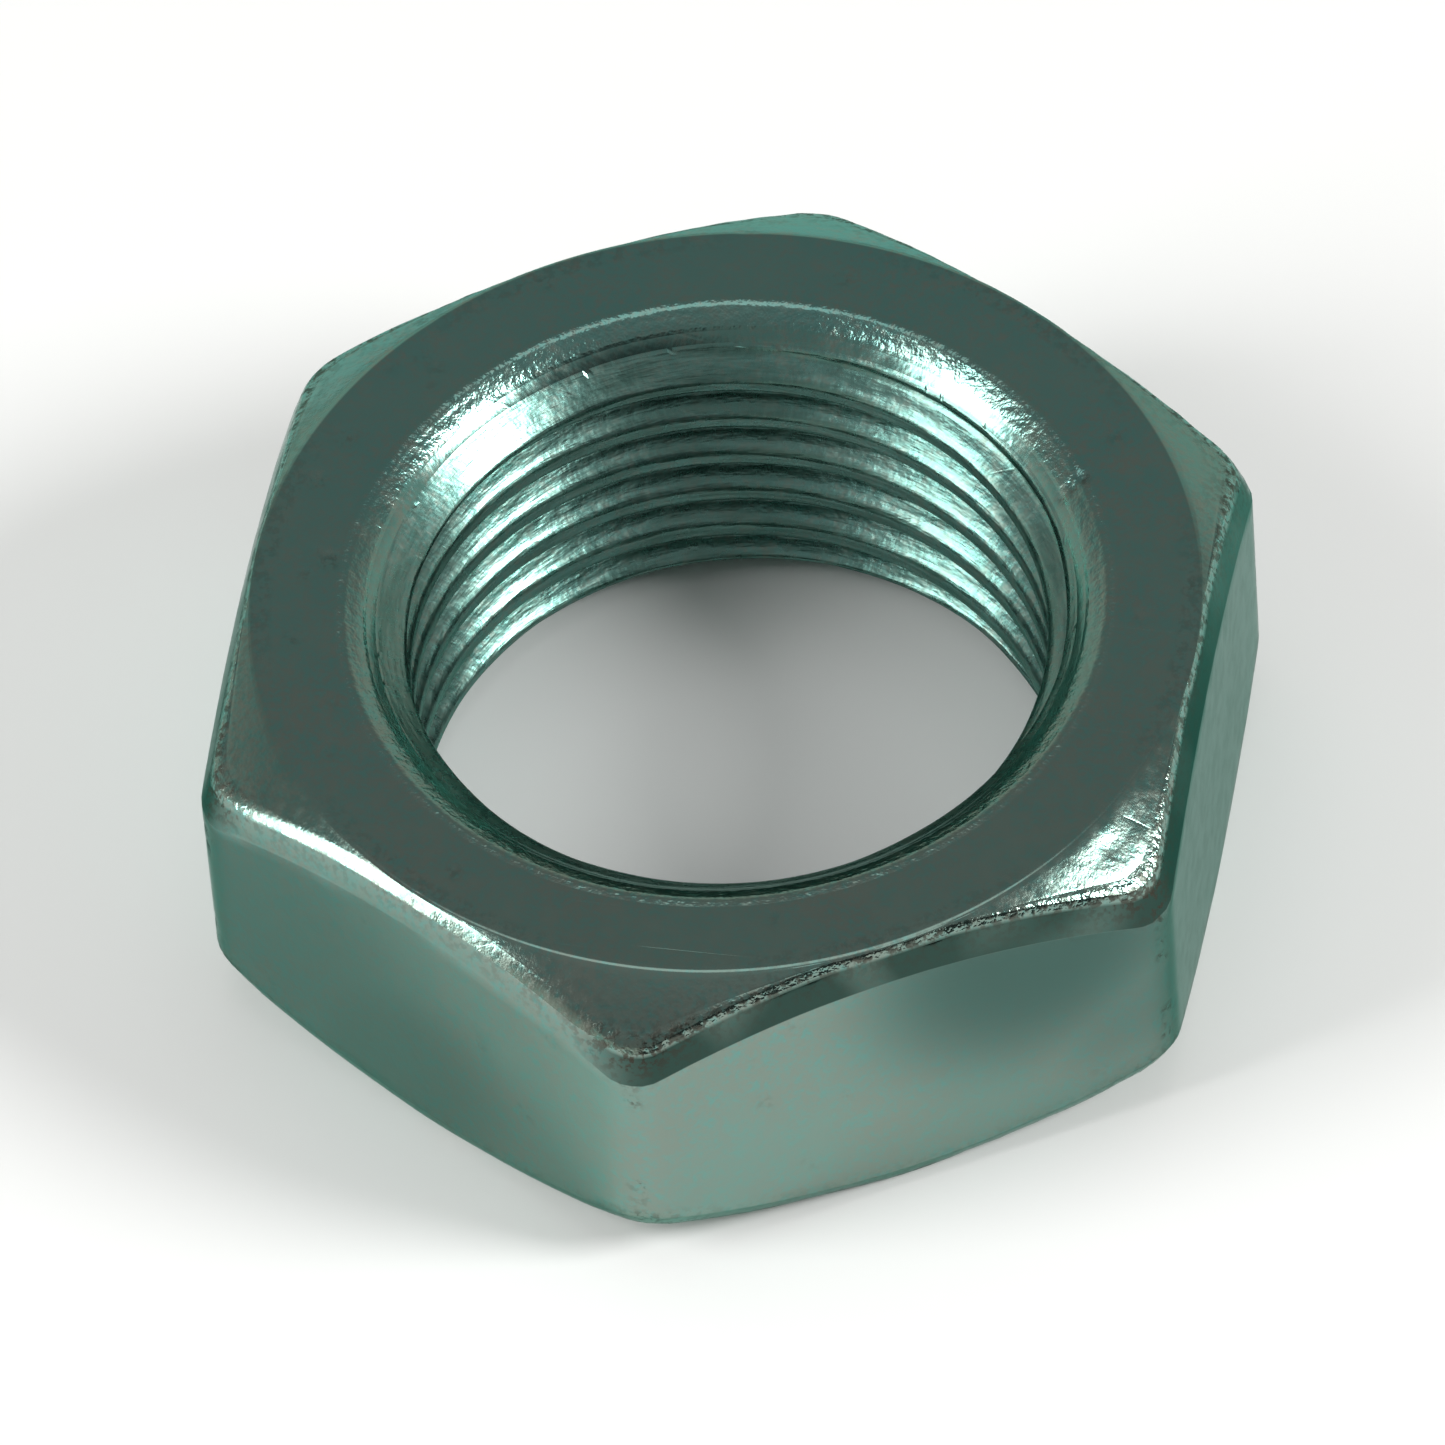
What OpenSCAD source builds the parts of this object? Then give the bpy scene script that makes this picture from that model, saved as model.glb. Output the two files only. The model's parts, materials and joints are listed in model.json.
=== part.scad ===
// Thin hex nut (jam nut), 3/4-16 UNF, double chamfered, with a true right-hand thread.
// One solid piece of steel. Z is the thread axis; the nut rests on z = 0.

/* [Hexagon] */
// Distance across the flats, the spanner size
across_flats = 27; // [26:0.25:32]
// Thickness between the two bearing faces
thickness = 10.2; // [8:0.1:16]
// How far each sharp corner is rounded back towards the axis
corner_trim = 0.24; // [0.05:0.01:0.4]

/* [Chamfers] */
// Gap between the edge of the round bearing face and each flat
face_inset = 0.45; // [0.1:0.05:0.8]
// Slope of the corner chamfers, measured from the bearing face
chamfer_angle = 33; // [20:1:40]

/* [Thread] */
// Major diameter, at the bottom of the thread groove
thread_d = 19.05; // [18.5:0.05:19.1]
// Pitch, the rise of the helix in one turn (16 turns per inch)
pitch = 1.5875; // [1.25:0.0125:1.75]
// Minor diameter, across the crests of the thread
bore_d = 17.65; // [17.4:0.01:17.8]
// Included angle between the flanks of the thread
flank_angle = 60; // [55:1:60]
// Angle at which the middle of the groove crosses the lower face, from +X
thread_start = 122; // [2:5:357]

/* [Countersinks] */
// Diameter of the upper countersink where it meets the bearing face
upper_countersink_d = 21; // [20:0.1:22]
// Diameter of the lower countersink, which is a little smaller
lower_countersink_d = 20; // [19.2:0.1:22]
// Included angle of each countersink
countersink_angle = 100; // [90:1:120]

/* [Quality] */
// Straight steps in one turn of the thread
steps_per_turn = 36; // [24:4:48]

/* [Hidden] */

zinc_colour = [0.62, 0.68, 0.65];
overlap = 1;                              // how far cutting shapes run past the metal
corner_r = across_flats / sqrt(3);        // axis to a sharp corner
rounded_r = corner_r - corner_trim;       // axis to a rounded corner
face_r = across_flats / 2 - face_inset;   // radius of the flat bearing face
root_flat = pitch / 8;                    // width of the flat at the bottom of the groove
groove_mouth_r = bore_d / 2 - pitch / 10; // the groove cutter opens inside the bore

// Half the width of the thread groove at radius r
function groove_half(r) = root_flat / 2 + (thread_d / 2 - r) * tan(flank_angle / 2);

// The four corners of the groove cutter at one step along the helix
function groove_ring(a, z) =
    [for (side = [[groove_mouth_r, -1], [thread_d / 2, -1], [thread_d / 2, 1], [groove_mouth_r, 1]])
        [side[0] * cos(a), side[0] * sin(a), z + side[1] * groove_half(side[0])]];

// Hexagonal bar with its six long edges rounded back; two flats face +X and -X
module hex_bar() {
    intersection() {
        rotate([0, 0, 30])
            cylinder(h = thickness, r = corner_r, $fn = 6);
        cylinder(h = thickness, r = rounded_r, $fn = 120);
    }
}

// Double cone that leaves the round bearing faces and the curved chamfers on the corners
module chamfer_envelope() {
    wide_r = face_r + thickness / tan(chamfer_angle);
    intersection() {
        cylinder(h = thickness, r1 = face_r, r2 = wide_r, $fn = 120);
        cylinder(h = thickness, r1 = wide_r, r2 = face_r, $fn = 120);
    }
}

// Conical lead-in of mouth diameter d that opens downwards, for the face at z = 0
module countersink(d) {
    slope = tan(countersink_angle / 2);
    inner_r = bore_d / 4;
    translate([0, 0, -overlap])
        cylinder(
            h = overlap + (d / 2 - inner_r) / slope,
            r1 = d / 2 + overlap * slope,
            r2 = inner_r,
            $fn = 120
        );
}

// Helical cutter with a trapezoid section, which rises anticlockwise (right-hand thread).
// It starts one pitch below the nut and runs out above the upper face.
module thread_groove() {
    steps = ceil((thickness / pitch + 1) * steps_per_turn);
    rings = [for (i = [0:steps])
        groove_ring(360 * i / steps_per_turn, pitch * (i / steps_per_turn - 1))];
    walls = [for (i = [0:steps - 1], k = [0:3])
        let (a = 4 * i + k, b = 4 * i + (k + 1) % 4)
        each [[a, b, b + 4], [a, b + 4, a + 4]]];
    ends = [[3, 2, 1, 0], [for (k = [0:3]) 4 * steps + k]];
    polyhedron(points = [for (ring = rings) each ring], faces = concat(walls, ends), convexity = 10);
}

module hex_nut() {
    color(zinc_colour)
        difference() {
            intersection() {
                hex_bar();
                chamfer_envelope();
            }
            translate([0, 0, -overlap])
                cylinder(h = thickness + 2 * overlap, d = bore_d, $fn = 120);
            countersink(lower_countersink_d);
            translate([0, 0, thickness])
                mirror([0, 0, 1])
                    countersink(upper_countersink_d);
            rotate([0, 0, thread_start])
                thread_groove();
        }
}

hex_nut();
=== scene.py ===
"""The looks of a thin, zinc-plated hex nut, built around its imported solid.

One finely shaped mesh stands for the solid: a true helical thread, countersinks, chamfers with
rolled rims, rounded corners, dents and nicks. Lengths are in metres unless a name says otherwise.
Bearings are in degrees round the axis, measured from the camera's side towards its right.
"""
import json
import math
import random

import bmesh
import bpy
import numpy as np
from mathutils import Matrix, Vector, noise


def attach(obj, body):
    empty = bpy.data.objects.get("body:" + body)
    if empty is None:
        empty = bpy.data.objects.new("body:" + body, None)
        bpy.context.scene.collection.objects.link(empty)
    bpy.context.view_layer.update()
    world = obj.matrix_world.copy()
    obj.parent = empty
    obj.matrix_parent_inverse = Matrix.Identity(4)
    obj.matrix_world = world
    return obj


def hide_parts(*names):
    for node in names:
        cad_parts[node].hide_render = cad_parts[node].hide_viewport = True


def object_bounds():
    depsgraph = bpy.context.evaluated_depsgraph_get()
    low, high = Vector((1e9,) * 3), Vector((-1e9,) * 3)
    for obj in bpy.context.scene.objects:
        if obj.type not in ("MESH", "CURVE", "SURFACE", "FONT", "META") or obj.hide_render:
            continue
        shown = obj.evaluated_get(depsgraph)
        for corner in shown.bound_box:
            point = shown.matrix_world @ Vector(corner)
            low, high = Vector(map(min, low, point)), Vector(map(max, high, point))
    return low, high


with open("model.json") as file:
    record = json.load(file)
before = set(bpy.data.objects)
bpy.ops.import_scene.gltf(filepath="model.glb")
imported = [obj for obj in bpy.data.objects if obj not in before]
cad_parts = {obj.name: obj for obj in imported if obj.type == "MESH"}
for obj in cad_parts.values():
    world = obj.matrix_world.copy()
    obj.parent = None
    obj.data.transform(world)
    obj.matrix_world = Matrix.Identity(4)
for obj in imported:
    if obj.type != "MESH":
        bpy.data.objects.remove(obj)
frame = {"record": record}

CAD_LOW, CAD_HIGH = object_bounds()
MM = 0.001

# ---------------------------------------------------------------- sizes of the nut

FLAT = CAD_HIGH.x                                   # axis to a spanner flat
HEIGHT = CAD_HIGH.z
THREAD = next(m for m in frame["record"]["mounts"] if m["name"] == "thread")
CREST = THREAD["dims"]["r_mm"] * MM                 # radius across the thread's crests
ROOT = 9.525 * MM                                   # radius at the bottom of the groove
PITCH = 1.5875 * MM
THREAD_START = math.radians(122)                    # where the groove crosses the lower face
FLANK_TAN = math.tan(math.radians(30))
CREST_BLEND, ROOT_BLEND = 0.48 * MM, 0.10 * MM      # rounding of the thread's crests and roots

COUNTERSINK = math.radians(50)                      # half the included angle of both
THREAD_TO_CONE = 0.04 * MM                          # rounding where the thread meets them
THREAD_CLEARANCE = 0.06 * MM                        # how far past the root their rows begin
UPPER_MOUTH, UPPER_LIP = 10.5 * MM, 0.16 * MM       # radius of the mouth, rounding of its rim
LOWER_MOUTH, LOWER_LIP = 10.0 * MM, 0.10 * MM

FACE_R = FLAT - 0.45 * MM                           # edge of the flat bearing face
CHAMFER = math.radians(33)
CREASE = 0.07 * MM                                  # rounding between face and chamfer
SHARP_R = FLAT / math.cos(math.pi / 6)
# Radius of the six rounded corners, 1% over so that they stay inside the solid's
CORNER_ROUND = (SHARP_R - CAD_HIGH.y) / (1 / math.cos(math.pi / 6) - 1) * 1.01
UPPER_RIM, LOWER_RIM = 0.82 * MM, 0.50 * MM         # how far the rolled rims run over a flat
RIM_IN = 0.45 * MM                                  # and how far in over the chamfer
FLATTER_ROLL = -44                                  # bearing of the flat whose rims are less rolled
SINK_BULGE = 0.06 * MM                              # how far the upper countersink swells
CHAMFER_BULGE = 0.045 * MM                          # and the chamfers

COLUMNS = 456                                       # round the nut, a multiple of six
PACKING = 0.42                                      # of the columns towards the corners, 0 to 1
ZONES = ["thread", "countersink", "lip", "face", "chamfer", "bead", "rim", "flat"]

# Rows in one pitch of the thread, closer together where the profile bends. 0 is mid-crest.
PITCH_STEPS = [0.0, 0.05, 0.10, 0.15, 0.20, 0.25, 0.31, 0.38, 0.44,
               0.5, 0.56, 0.62, 0.69, 0.75, 0.80, 0.85, 0.90, 0.95]

CAMERA_BEARING = math.radians(13.67)                # from -Y towards +X
CAMERA_ELEVATION = math.radians(51.18)
CAMERA_ROLL = math.radians(-4.74)
NEAR = CAMERA_BEARING - math.pi / 2                 # angle of the camera's side, from +X
DARK_SIDE = 22                                      # bearing of the dark end of the room


def towards(bearing, elevation):
    """Unit vector at a bearing and an elevation in degrees."""
    a, e = NEAR + math.radians(bearing), math.radians(elevation)
    return Vector((math.cos(a) * math.cos(e), math.sin(a) * math.cos(e), math.sin(e)))


# ---------------------------------------------------------------- section of the nut

def smooth_max(a, b, blend):
    """The larger of two values, with the crease between them rounded."""
    h = np.clip(0.5 + 0.5 * (a - b) / blend, 0, 1)
    return b + (a - b) * h + blend * h * (1 - h) / 2


def bend(start, corner, end, count, pull=2 / 3):
    """Points on the curve that rounds off a corner, from start to end. With less pull towards
    the corner the curve is flatter in the middle."""
    for t in np.linspace(0, 1, count):
        out = (1 - t) ** 2 * (1 - t + 3 * t * (1 - pull))
        back = t ** 2 * (t + 3 * (1 - t) * (1 - pull))
        yield [out * s + (1 - out - back) * c + back * e for s, c, e in zip(start, corner, end)]


def chamfer_depth(radius):
    """Depth of a chamfer below its bearing face."""
    t = (radius - FACE_R) / (CAD_HIGH.y - FACE_R)
    return (radius - FACE_R) * math.tan(CHAMFER) - 4 * CHAMFER_BULGE * t * (1 - t)


def column_angles():
    """Angles of the columns, closer together at the six corners."""
    per_flat = COLUMNS // 6
    t = np.arange(per_flat) / per_flat
    packed = t + PACKING * np.sin(2 * math.pi * t) / (2 * math.pi)
    return np.concatenate([(packed + k - 0.5) * math.pi / 3 for k in range(6)])


def off_flat(angle):
    """Angle from the middle of the nearest flat."""
    return (angle + math.pi / 6) % (math.pi / 3) - math.pi / 6


def hexagon_radius(angle):
    """Distance from the axis to the flats, with the corners rounded to a true radius."""
    off_corner = math.pi / 6 - np.abs(off_flat(angle))
    centre = (FLAT - CORNER_ROUND) / math.cos(math.pi / 6)
    tangent = math.atan((FLAT - CORNER_ROUND) * math.tan(math.pi / 6) / FLAT)
    across = CORNER_ROUND ** 2 - (centre * np.sin(off_corner)) ** 2
    rounded = centre * np.cos(off_corner) + np.sqrt(np.maximum(across, 0))
    return np.where(np.abs(off_flat(angle)) <= tangent, FLAT / np.cos(off_flat(angle)), rounded)


def flatter_roll(angle):
    """1 on the flat whose rims are bevelled more than rolled, 0 on the others."""
    off = (angle - NEAR - math.radians(FLATTER_ROLL) + math.pi) % (2 * math.pi) - math.pi
    return np.clip((math.radians(30) - np.abs(off)) / math.radians(6), 0, 1)


def groove_radius(place):
    """Radius of the thread at a place in its pitch: 0 and 1 are mid-crest, 0.5 is mid-groove."""
    from_groove = np.abs(place - 0.5) * PITCH
    flank = ROOT - (from_groove - PITCH / 16) / FLANK_TAN
    rooted = -smooth_max(-flank, -ROOT, ROOT_BLEND)
    return smooth_max(rooted, CREST, CREST_BLEND)


def thread_end(mouth):
    """Depth below a bearing face at which the countersink first clears the thread's root."""
    return (mouth - ROOT - THREAD_CLEARANCE) / math.tan(COUNTERSINK)


def thread_rows(angle):
    """Rows of the thread from bottom to top. They climb with the helix, one pitch a turn."""
    low, high = thread_end(LOWER_MOUTH), HEIGHT - thread_end(UPPER_MOUTH)
    helix = (angle - THREAD_START) / (2 * math.pi) + 0.5
    slope = math.tan(COUNTERSINK)
    rows = []
    for turn in range(-2, int(HEIGHT / PITCH) + 1):
        for step in PITCH_STEPS:
            z = np.clip((turn + step + helix) * PITCH, low, high)
            place = (z / PITCH - helix) % 1.0
            cone = np.maximum(UPPER_MOUTH - (HEIGHT - z) * slope, LOWER_MOUTH - z * slope)
            rows.append((smooth_max(groove_radius(place), cone, THREAD_TO_CONE), z, "thread"))
    return rows


def end_rows(angle, mouth_r, lip, sink_rows, bulge, rim_down):
    """Rows as (radius, depth below the bearing face, zone), from the thread's end to a flat.
    Radius and depth hold one value for each column."""
    edge = hexagon_radius(angle)
    slope = math.tan(COUNTERSINK)
    inner = (mouth_r - thread_end(mouth_r) * slope, thread_end(mouth_r))
    mouth = (mouth_r - lip * math.sin(COUNTERSINK), lip * math.cos(COUNTERSINK))
    rows = []
    for t in np.linspace(0, 1, sink_rows):
        swell = 4 * bulge * t * (1 - t)
        rows.append((inner[0] + (mouth[0] - inner[0]) * t - swell * math.sin(COUNTERSINK) * 0.7,
                     inner[1] + (mouth[1] - inner[1]) * t - swell * 0.7,
                     "lip" if t > 0.55 else "countersink"))
    rows += [(*p, "lip") for p in bend(mouth, (mouth_r, 0), (mouth_r + lip, 0), 5)][1:]

    face_in, face_out = mouth_r + lip, FACE_R - CREASE
    rows += [(face_in + (face_out - face_in) * t, 0, "face") for t in np.linspace(0, 1, 14)[1:-1]]
    crease_out = FACE_R + CREASE * math.cos(CHAMFER)
    rows += [(*p, "face") for p in bend((face_out, 0), (FACE_R, 0),
                                        (crease_out, chamfer_depth(crease_out)), 4)]

    sharp_depth = chamfer_depth(edge)
    rim_in = np.minimum(RIM_IN, 0.80 * (edge - FACE_R))
    rim_top = edge - rim_in
    for t in np.linspace(0, 1, 10)[1:-1]:
        r = crease_out + (rim_top - crease_out) * t
        rows.append((r, chamfer_depth(r), "chamfer" if t < 0.85 else "bead"))

    flatter = flatter_roll(angle)
    corner = edge - (0.80 - 0.60 * flatter) * rim_in
    corner_depth = chamfer_depth(corner) + 0.15 * MM * flatter
    rim = list(bend((rim_top, chamfer_depth(rim_top)), (corner, corner_depth),
                    (edge, sharp_depth + rim_down), 12, 0.5 + 0.4 * flatter))
    rows += [(*p, "bead" if i < 5 else "rim") for i, p in enumerate(rim)]
    rows.append((edge, sharp_depth + rim_down + 0.03 * MM, "flat"))
    return [(r + 0 * angle, d + 0 * angle, zone) for r, d, zone in rows]


def section_rows(angle):
    """The closed section as (radius, height, zone): over the top, down a flat, under, up the
    bore."""
    upper = end_rows(angle, UPPER_MOUTH, UPPER_LIP, 10, SINK_BULGE, UPPER_RIM)
    lower = end_rows(angle, LOWER_MOUTH, LOWER_LIP, 3, 0, LOWER_RIM)
    edge, top, bottom = upper[-1][0], HEIGHT - upper[-1][1], lower[-1][1]
    flat = [(edge, top + (bottom - top) * t, "flat") for t in np.linspace(0, 1, 18)[1:-1]]
    return ([(r, HEIGHT - d, zone) for r, d, zone in upper] + flat
            + [(r, d, zone) for r, d, zone in reversed(lower)] + thread_rows(angle))


# ---------------------------------------------------------------- the mesh

def skin(name):
    """One closed mesh from the rows. Where the circle closes, a thread row meets the row that
    lies one pitch further on."""
    angle = column_angles()
    rows = section_rows(angle)
    radius = np.array([row[0] for row in rows])
    height = np.array([row[1] for row in rows])
    points = np.stack([radius * np.cos(angle), radius * np.sin(angle), height], axis=-1)
    last = len(rows) - 1
    bore = next(i for i, row in enumerate(rows) if row[2] == "thread")

    faces = []
    for row in range(len(rows)):
        following = (row + 1) % len(rows)
        for col in range(COLUMNS):
            right = (col + 1) % COLUMNS
            here, there = row, following
            if right == 0 and row >= bore:
                here = min(row + len(PITCH_STEPS), last)
                there = min(row + 1 + len(PITCH_STEPS), last) if row < last else 0
            faces.append((row * COLUMNS + col, following * COLUMNS + col,
                          there * COLUMNS + right, here * COLUMNS + right))
    mesh = bpy.data.meshes.new(name)
    mesh.from_pydata(points.reshape(-1, 3).tolist(), [], faces)
    zone_of_row = [ZONES.index(row[2]) for row in rows]
    zone = mesh.attributes.new("zone", "INT", "POINT")
    zone.data.foreach_set("value", np.repeat(zone_of_row, COLUMNS).astype(np.int32))

    work = bmesh.new()
    work.from_mesh(mesh)
    bmesh.ops.remove_doubles(work, verts=work.verts, dist=0.0002 * MM)
    bmesh.ops.recalc_face_normals(work, faces=work.faces)
    work.to_mesh(mesh)
    work.free()
    return mesh


# ---------------------------------------------------------------- dents, nicks and rough spots

# Marks on the upper side as (bearing, radius in mm, size in mm, depth in mm)
MARKS = [
    (107, 9.95, 0.34, 0.050), (107, 10.25, 0.32, 0.060), (107.4, 10.55, 0.34, 0.070),
    (-103, 11.05, 0.50, 0.030), (-116, 12.2, 0.36, 0.030), (-100, 11.6, 0.30, 0.020),
    (46, 13.7, 0.30, 0.030), (37, 15.0, 0.34, 0.035), (6, 14.2, 0.32, 0.025),
    (-42, 11.9, 0.36, 0.022), (160, 11.7, 0.34, 0.018), (-160, 12.5, 0.36, 0.020),
]

# Patches of painted shade on the flats, dark reflections painted into the plating, as (bearing,
# height in mm, reach in mm, strength)
PAINTED_SHADE_PATCHES = [
    (33, 8.6, 5.0, 0.95), (45, 5.5, 3.6, 0.6), (-70, 6.0, 6.5, 0.36), (-48, 2.5, 4.0, 0.38),
    (76, 5.0, 9.0, 0.72), (140, 4.0, 6.0, 0.5), (-150, 6.0, 6.0, 0.5),
]


def painted_shade_on(points):
    """How strongly painted shade darkens the plating of the flats, from 0 to 1."""
    painted_shade = np.zeros(len(points))
    for bearing, height, reach, strength in PAINTED_SHADE_PATCHES:
        a = NEAR + math.radians(bearing)
        place = np.array([13.8 * math.cos(a), 13.8 * math.sin(a), height]) * MM
        gap = np.linalg.norm(points - place, axis=1) / (reach * MM)
        painted_shade = np.maximum(painted_shade, strength * np.exp(-gap ** 4))
    return painted_shade


def lumps(points, size, shift=0.0):
    """Smooth random field, about -1 to 1, whose lumps are about one size across."""
    return 1.6 * np.array([noise.noise(p) for p in points / size + shift])


def marks_on(points, random_marks):
    """Depth of the chosen marks and of small random ones, scattered over the outside."""
    marks = []
    for bearing, radius, size, depth in MARKS:
        a = NEAR + math.radians(bearing)
        r = radius * MM
        sink = max(0, UPPER_MOUTH - r) / math.tan(COUNTERSINK)
        z = HEIGHT - sink - (chamfer_depth(r) if r > FACE_R else 0)
        marks.append(((r * math.cos(a), r * math.sin(a), z), size * MM, depth * MM))
    marks += random_marks
    depth = np.zeros(len(points))
    for place, size, deep in marks:
        gap = np.linalg.norm(points - np.array(place), axis=1) / size
        depth = np.maximum(depth, deep * np.clip(1 - gap ** 2, 0, None) ** 2)
    return depth


def corner_marks(rng):
    """Knocks down the six upright edges, more of them towards the ends."""
    marks = []
    for corner in range(6):
        a = math.pi / 6 + corner * math.pi / 3
        for _ in range(11):
            end = rng.choice((-1, 1))
            z = HEIGHT / 2 + end * (HEIGHT / 2 - 1.3 * MM) * rng.random() ** 0.6
            turn = a + rng.uniform(-0.012, 0.012)
            place = (CAD_HIGH.y * math.cos(turn), CAD_HIGH.y * math.sin(turn), z)
            marks.append((place, rng.uniform(0.22, 0.42) * MM, rng.uniform(0.02, 0.06) * MM))
    return marks


def flat_marks(rng):
    """Small dents on the six flats."""
    marks = []
    for side in range(6):
        a = side * math.pi / 3
        for _ in range(7):
            u = rng.uniform(-6.5, 6.5) * MM
            z = rng.uniform(1.5, 8.7) * MM
            place = (FLAT * math.cos(a) - u * math.sin(a), FLAT * math.sin(a) + u * math.cos(a), z)
            marks.append((place, rng.uniform(0.25, 0.5) * MM, rng.uniform(0.006, 0.02) * MM))
    return marks


def face_marks(rng):
    """Small dents on the bearing faces and chamfers."""
    marks = []
    for z, count in ((HEIGHT, 16), (0.0, 30)):
        for _ in range(count):
            a = rng.uniform(0, 2 * math.pi)
            r = rng.uniform(10.9, 13.4) * MM
            place = (r * math.cos(a), r * math.sin(a), z)
            marks.append((place, rng.uniform(0.25, 0.5) * MM, rng.uniform(0.006, 0.022) * MM))
    return marks


def roughen(mesh):
    """Press the lumps and dents of a rumbled, plated nut into the mesh, always inwards, and
    leave the masks that the plating follows, among them painted shade and a painted tint."""
    count = len(mesh.vertices)
    places = np.empty(count * 3)
    mesh.vertices.foreach_get("co", places)
    points = places.reshape(-1, 3)
    normals = np.array([v.normal for v in mesh.vertices])
    zone = np.empty(count, np.int32)
    mesh.attributes["zone"].data.foreach_get("value", zone)
    is_zone = {name: (zone == i).astype(float) for i, name in enumerate(ZONES)}

    radius = np.hypot(points[:, 0], points[:, 1])
    angle = np.arctan2(points[:, 1], points[:, 0])
    depth_in = np.minimum(points[:, 2], HEIGHT - points[:, 2])
    corner = np.clip((np.abs(off_flat(angle)) / (math.pi / 6) - 0.72) / 0.28, 0, 1)
    bead = is_zone["bead"] * (1 - 0.8 * flatter_roll(angle))
    sink = is_zone["countersink"] + is_zone["lip"]

    fine = 0.5 + 0.5 * lumps(points, 0.42 * MM)
    broad = 0.5 + 0.5 * lumps(points, 1.9 * MM, 7.3)
    chatter = 0.5 + 0.5 * lumps(points * (1, 1, 0.35), 0.55 * MM, 3.1)
    streak = 0.5 + 0.5 * lumps(points * (0.22, 0.22, 1), 0.30 * MM, 5.7)

    past_crease = np.clip((radius - FACE_R) / (0.7 * MM), 0, 1) ** 2
    depth = (bead * 0.045 + is_zone["rim"] * 0.008) * MM * fine * broad
    outside = is_zone["rim"] + is_zone["bead"] + is_zone["chamfer"]
    depth += outside * past_crease * (0.010 + 0.020 * corner * fine) * MM * broad
    depth += sink * (0.006 * MM * chatter + 0.008 * MM * broad)
    depth += is_zone["thread"] * (0.008 * MM * streak + 0.010 * MM * chatter * broad)
    depth += (is_zone["flat"] + is_zone["face"]) * 0.003 * MM * broad
    depth = np.clip(depth, 0, None)
    rng = random.Random(11)
    dents = marks_on(points, corner_marks(rng) + flat_marks(rng) + face_marks(rng))
    mesh.vertices.foreach_set("co", (points - normals * (depth + dents)[:, None]).ravel())
    mesh.update()

    edge = hexagon_radius(angle)
    down = depth_in - chamfer_depth(edge)
    near_edge = np.clip(1 - np.abs(down) / (1.0 * MM), 0, 1) * (radius > 12.6 * MM)
    wear = np.clip(near_edge * (0.35 + 0.65 * corner) + dents / (0.05 * MM) + 0.6 * bead, 0, 1)
    upper_rim = is_zone["rim"] * (points[:, 2] > HEIGHT / 2)
    # how far round towards the camera's side, 0 to 1; it sets a painted reflection tint and the
    # strength of the painted rim shade
    front = 0.5 + points @ np.array(towards(0, 0)) / (2 * FLAT)
    masks = {
        "wear": wear,
        "threaded": is_zone["thread"],
        "turned": sink,
        "beaded": bead + 0.6 * is_zone["lip"] + 0.15 * is_zone["chamfer"],
        "side": is_zone["flat"],
        # painted shade: patches on the flats darkened as dark reflections would darken them
        "painted_shade": is_zone["flat"] * painted_shade_on(points),
        # painted shade: the upper rims darkened as a dark reflection would darken them, stronger
        # towards the camera's side, least on the flatter-rolled flat
        "rim_painted_shade": upper_rim * (1 - flatter_roll(angle)) * np.clip(0.72 + 0.5 * broad, 0, 1)
                    * np.clip(0.40 + 0.85 * front, 0, 1),
        "front": front,
    }
    for name, values in masks.items():
        layer = mesh.attributes.new(name, "FLOAT", "POINT")
        layer.data.foreach_set("value", values.astype(np.float32))


# ---------------------------------------------------------------- node helpers

class Nodes:
    """Short ways to add and join the nodes of one material."""

    def __init__(self, material):
        material.use_nodes = True
        self.tree = material.node_tree
        self.shader = self.tree.nodes["Principled BSDF"]
        self.place = self.tree.nodes.new("ShaderNodeTexCoord").outputs["Object"]

    def add(self, kind, **settings):
        node = self.tree.nodes.new(kind)
        for name, value in settings.items():
            setattr(node, name, value)
        return node

    def put(self, socket, value):
        if isinstance(value, bpy.types.NodeSocket):
            self.tree.links.new(value, socket)
        else:
            socket.default_value = value

    def mask(self, name):
        return self.add("ShaderNodeAttribute", attribute_name=name).outputs["Fac"]

    def math(self, how, a, b, c=0.0):
        node = self.add("ShaderNodeMath", operation=how)
        for socket, value in zip(node.inputs, (a, b, c)):
            self.put(socket, value)
        return node.outputs[0]

    def noise(self, size_mm, detail=2.0, rough=0.5, stretch=(1, 1, 1), twist=0.0):
        """Noise about size_mm across, from 0 to 1, stretched and turned as asked."""
        mapping = self.add("ShaderNodeMapping")
        self.put(mapping.inputs["Vector"], self.place)
        self.put(mapping.inputs["Scale"], stretch)
        self.put(mapping.inputs["Rotation"], (0, twist, twist))
        node = self.add("ShaderNodeTexNoise")
        self.put(node.inputs["Vector"], mapping.outputs[0])
        self.put(node.inputs["Scale"], 1000 / size_mm)
        self.put(node.inputs["Detail"], detail)
        self.put(node.inputs["Roughness"], rough)
        return node.outputs["Fac"]

    def span(self, value, low, high, to_low=0.0, to_high=1.0):
        """Spread the values between low and high over a new range."""
        node = self.add("ShaderNodeMapRange", interpolation_type="SMOOTHSTEP")
        for socket, number in zip(node.inputs, (value, low, high, to_low, to_high)):
            self.put(socket, number)
        return node.outputs[0]

    def mix(self, factor, a, b):
        node = self.add("ShaderNodeMix", data_type="RGBA")
        self.put(node.inputs["Factor"], factor)
        for socket, value in zip([s for s in node.inputs if s.type == "RGBA"], (a, b)):
            self.put(socket, value)
        return next(s for s in node.outputs if s.type == "RGBA")

    def bump(self, height, distance_mm):
        node = self.add("ShaderNodeBump")
        self.put(node.inputs["Strength"], 1.0)
        self.put(node.inputs["Distance"], distance_mm * MM)
        self.put(node.inputs["Height"], height)
        return node.outputs[0]


# ---------------------------------------------------------------- materials

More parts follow.
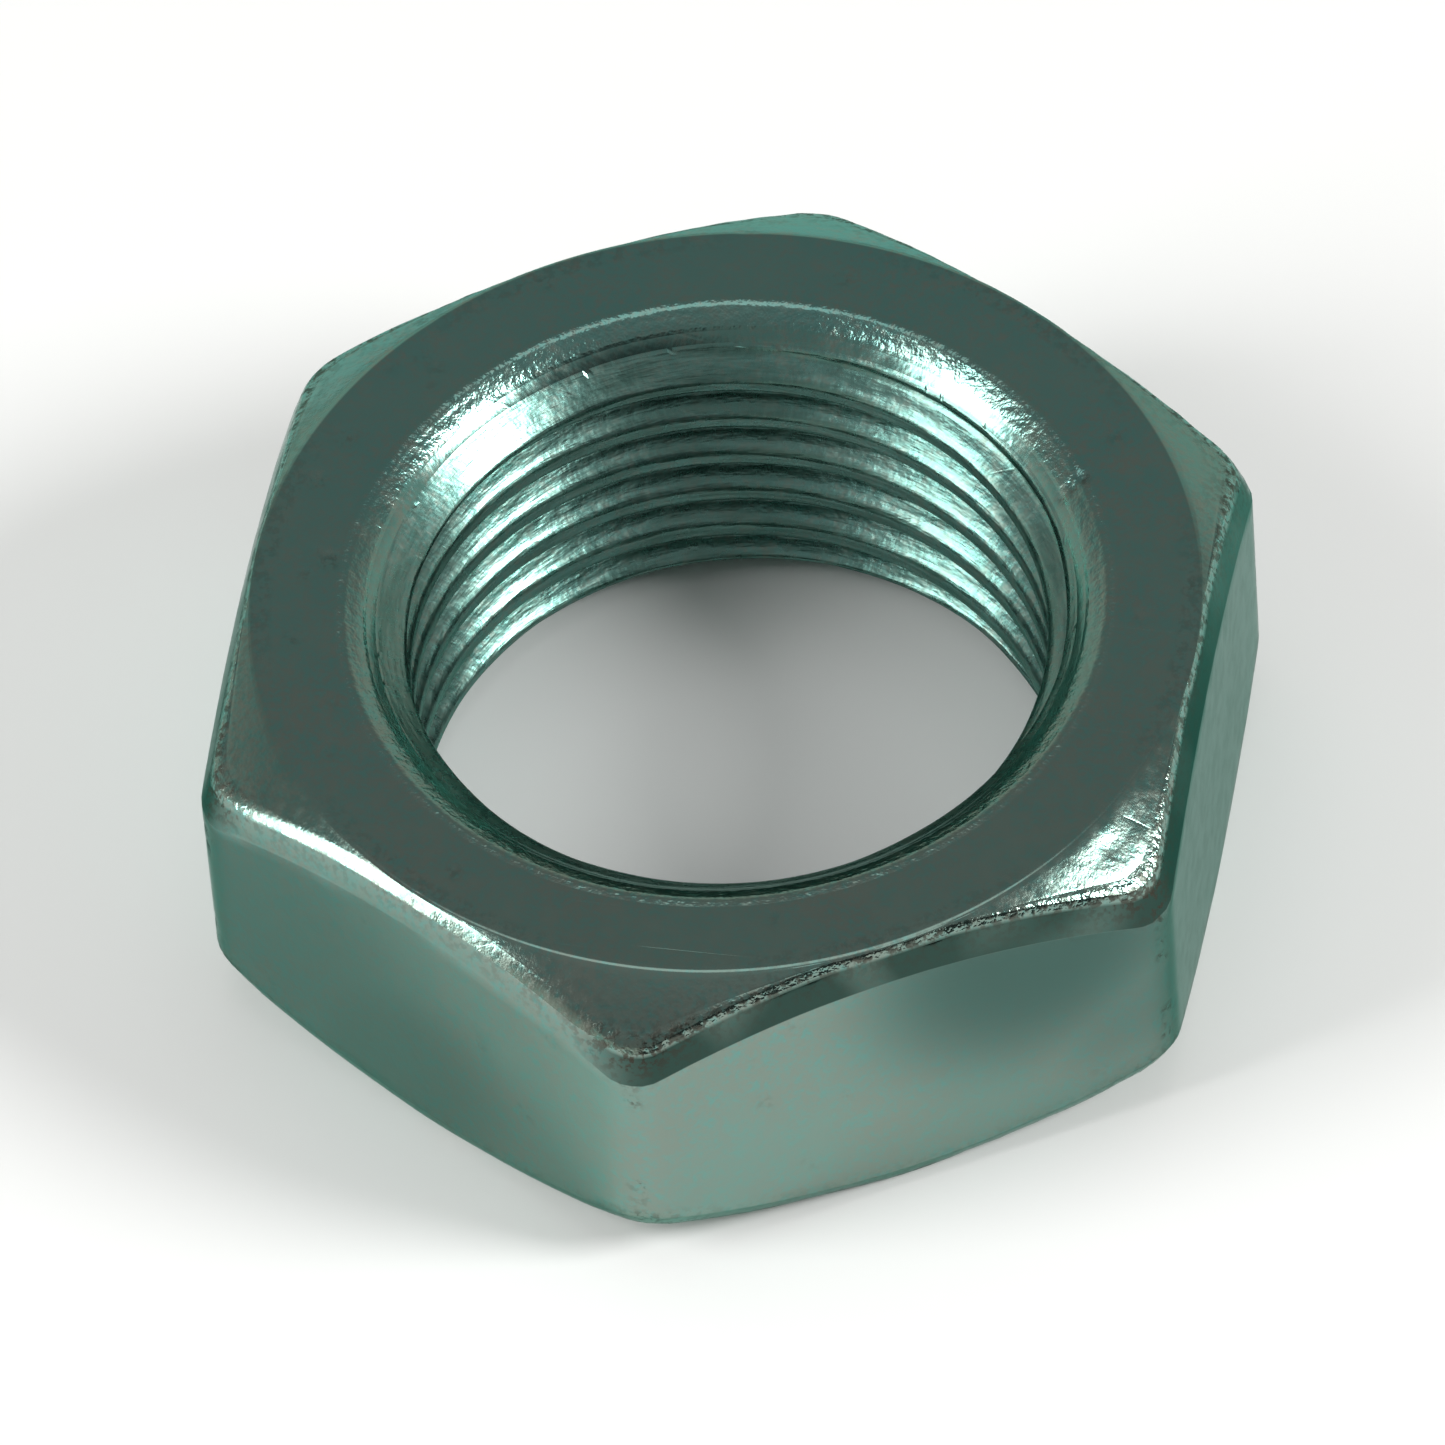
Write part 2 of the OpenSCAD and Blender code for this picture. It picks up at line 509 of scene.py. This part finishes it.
ZINC = (0.195, 0.338, 0.295, 1)
ZINC_WARM = (0.238, 0.298, 0.258, 1)
ZINC_COOL = (0.155, 0.345, 0.312, 1)
# painted shade for the dark patches on the flats
ZINC_PAINTED_SHADE = (0.066, 0.125, 0.110, 1)
# painted shade for the upper rims
ZINC_RIM_SHADE = (0.036, 0.072, 0.060, 1)
GRIME = (0.060, 0.042, 0.032, 1)
# painted shade for the thread
THREAD_PAINTED_SHADE = (0.095, 0.195, 0.165, 1)


def zinc():
    """Bright zinc plate: a green-grey sheen, mottled teal and brown, speckled and stained at the
    edges.
    Painted shade darkens it in streaks along the thread, in patches on the flats and on the upper
    rims, and a painted reflection tint warms it towards the camera's side."""
    material = bpy.data.materials.new("zinc_plate")
    n = Nodes(material)
    wear, threaded = n.mask("wear"), n.mask("threaded")
    turned, beaded, side = n.mask("turned"), n.mask("beaded"), n.mask("side")

    grain = n.noise(0.16, 2, 0.6)
    mottle = n.noise(0.55, 3, 0.6)
    cloud = n.noise(3.6, 2, 0.5)
    speckle = n.noise(0.24, 2, 0.65)
    streak = n.noise(0.20, 3, 0.6, stretch=(0.10, 0.10, 1.0))
    chatter = n.noise(0.34, 2, 0.6, stretch=(1.0, 1.0, 0.25))
    scratch = n.noise(0.30, 1, 0.5, stretch=(0.05, 1.3, 0.4), twist=0.6)

    tone = n.math("ADD", n.math("MULTIPLY", mottle, 0.45), n.math("MULTIPLY", grain, 0.55))
    # painted reflection tint: warmer towards the camera's side, cooler away from it
    tone = n.math("ADD", tone, n.math("MULTIPLY_ADD", n.mask("front"), 0.14, -0.07))
    colour = n.mix(n.span(tone, 0.35, 0.65), ZINC_COOL, ZINC_WARM)
    colour = n.mix(n.span(cloud, 0.35, 0.65, 0.0, 0.45), colour, ZINC)
    # painted shade in patches on the flats
    colour = n.mix(n.mask("painted_shade"), colour, ZINC_PAINTED_SHADE)
    # painted shade along the upper rims
    colour = n.mix(n.mask("rim_painted_shade"), colour, ZINC_RIM_SHADE)
    # painted shade over the thread, in streaks along it
    colour = n.mix(n.math("MULTIPLY", threaded, n.span(streak, 0.62, 0.38, 0.1, 0.6)),
                   colour, THREAD_PAINTED_SHADE)
    stained = n.math("MULTIPLY", wear, n.span(speckle, 0.46, 0.60))
    colour = n.mix(n.math("MULTIPLY", stained, 0.75), colour, GRIME)
    n.put(n.shader.inputs["Base Color"], colour)
    n.put(n.shader.inputs["Metallic"], 1.0)

    rough = n.span(mottle, 0.3, 0.7, 0.11, 0.17)
    rough = n.math("ADD", rough, n.math("MULTIPLY", stained, 0.20))
    rough = n.math("ADD", rough, n.math("MULTIPLY", side, 0.05))
    rough = n.math("ADD", rough, n.math("MULTIPLY", threaded, 0.14))
    rough = n.math("ADD", rough, n.math("MULTIPLY", turned, 0.05))
    n.put(n.shader.inputs["Roughness"], rough)

    lay = n.math("MULTIPLY_ADD", threaded, 0.7, n.math("MULTIPLY", side, 0.05))
    lay = n.math("MULTIPLY", streak, lay)
    knocks = n.math("MULTIPLY", speckle, n.math("MULTIPLY_ADD", beaded, 0.9, 0.02))
    turning = n.math("MULTIPLY_ADD", turned, 0.26, n.math("MULTIPLY", threaded, 0.3))
    turning = n.math("MULTIPLY", chatter, turning)
    height = n.math("ADD", n.math("ADD", lay, knocks), turning)
    height = n.math("ADD", height, n.math("MULTIPLY", grain, 0.02))
    height = n.math("ADD", height, n.math("MULTIPLY", n.span(scratch, 0.70, 0.78), -0.05))
    n.put(n.shader.inputs["Normal"], n.bump(height, 0.045))
    n.shader.inputs["Specular Tint"].default_value = (0.42, 0.62, 0.56, 1)
    return material


def paper():
    """Plain pale floor."""
    material = bpy.data.materials.new("paper")
    material.use_nodes = True
    shader = material.node_tree.nodes["Principled BSDF"]
    shader.inputs["Base Color"].default_value = (0.95, 0.95, 0.94, 1)
    shader.inputs["Roughness"].default_value = 0.9
    shader.inputs["Specular IOR Level"].default_value = 0.1
    return material


# ---------------------------------------------------------------- floor, light and camera

def camera():
    """A long lens, aimed at the nut's centre from above and one side."""
    distance = 540 * MM
    aim_right, aim_up = 0.33 * MM, 0.27 * MM
    back = Vector((math.sin(CAMERA_BEARING) * math.cos(CAMERA_ELEVATION),
                   -math.cos(CAMERA_BEARING) * math.cos(CAMERA_ELEVATION),
                   math.sin(CAMERA_ELEVATION)))
    side = Vector((0, 0, 1)).cross(back).normalized()
    up = back.cross(side)
    right = math.cos(CAMERA_ROLL) * side + math.sin(CAMERA_ROLL) * up
    top = math.cos(CAMERA_ROLL) * up - math.sin(CAMERA_ROLL) * side
    data = bpy.data.cameras.new("camera")
    data.sensor_width = 36
    data.lens = 486
    data.clip_start, data.clip_end = 0.01, 10
    eye = bpy.data.objects.new("camera", data)
    eye.matrix_world = Matrix((right, top, back)).transposed().to_4x4()
    eye.location = Vector((0, 0, HEIGHT / 2)) - aim_right * right - aim_up * top + distance * back
    bpy.context.scene.collection.objects.link(eye)
    bpy.context.scene.camera = eye


def softbox(name, shape, bearing, elevation, distance, width, length, power):
    """An area light that faces the nut."""
    data = bpy.data.lights.new(name, "AREA")
    data.shape = shape
    data.size, data.size_y = width, length
    data.energy = power
    lamp = bpy.data.objects.new(name, data)
    place = towards(bearing, elevation) * distance
    lamp.location = place
    lamp.rotation_euler = place.to_track_quat("Z", "Y").to_euler()
    bpy.context.scene.collection.objects.link(lamp)


def studio():
    """A room that is lighter towards the horizon, and dark at one end."""
    world = bpy.data.worlds.new("studio")
    bpy.context.scene.world = world
    world.use_nodes = True
    tree = world.node_tree
    place = tree.nodes.new("ShaderNodeTexCoord")
    split = tree.nodes.new("ShaderNodeSeparateXYZ")
    ramp = tree.nodes.new("ShaderNodeValToRGB")
    tree.links.new(place.outputs["Generated"], split.inputs[0])
    tree.links.new(split.outputs["Z"], ramp.inputs[0])
    stops = [(0.0, (0.70, 0.68, 0.61)), (0.2, (0.60, 0.60, 0.55)), (0.36, (0.43, 0.43, 0.40)),
             (0.55, (0.27, 0.27, 0.26)), (0.85, (0.27, 0.275, 0.275)), (1.0, (0.40, 0.40, 0.40))]
    for stop, _ in stops[1:-1]:
        ramp.color_ramp.elements.new(stop)
    for element, (_, colour) in zip(ramp.color_ramp.elements, stops):
        element.color = (*colour, 1)
    along = tree.nodes.new("ShaderNodeVectorMath")
    along.operation = "DOT_PRODUCT"
    along.inputs[1].default_value = towards(DARK_SIDE, 8)
    tree.links.new(place.outputs["Generated"], along.inputs[0])
    dark = tree.nodes.new("ShaderNodeMapRange")
    dark.interpolation_type = "SMOOTHSTEP"
    dark.inputs["From Min"].default_value = 0.74
    dark.inputs["From Max"].default_value = 0.92
    tree.links.new(along.outputs["Value"], dark.inputs["Value"])
    mix = tree.nodes.new("ShaderNodeMix")
    mix.data_type = "RGBA"
    tree.links.new(dark.outputs[0], mix.inputs["Factor"])
    tree.links.new(ramp.outputs[0], mix.inputs["A"])
    mix.inputs["B"].default_value = (0.05, 0.055, 0.055, 1)
    tree.links.new(mix.outputs["Result"], tree.nodes["Background"].inputs["Color"])


def floor():
    """The surface that the nut lies on."""
    bpy.ops.mesh.primitive_plane_add(size=3.0, location=(0, 0, 0))
    ground = bpy.context.object
    ground.name = "floor"
    ground.data.materials.append(paper())


# ---------------------------------------------------------------- the scene

camera()
nut = bpy.data.objects.new("nut_body", skin("nut_body"))
bpy.context.scene.collection.objects.link(nut)
roughen(nut.data)
nut.data.shade_smooth()
nut.data.materials.append(zinc())
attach(nut, "root")
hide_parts("hex_nut")

softbox("left_softbox", "RECTANGLE", -77, 27, 0.40, 0.17, 0.38, 1.35)
softbox("right_softbox", "ELLIPSE", 74, 37, 0.40, 0.13, 0.145, 1.05)
softbox("overhead_softbox", "ELLIPSE", 180, 80, 0.50, 0.36, 0.26, 0.18)
studio()
floor()
bpy.context.scene.view_settings.view_transform = "Standard"
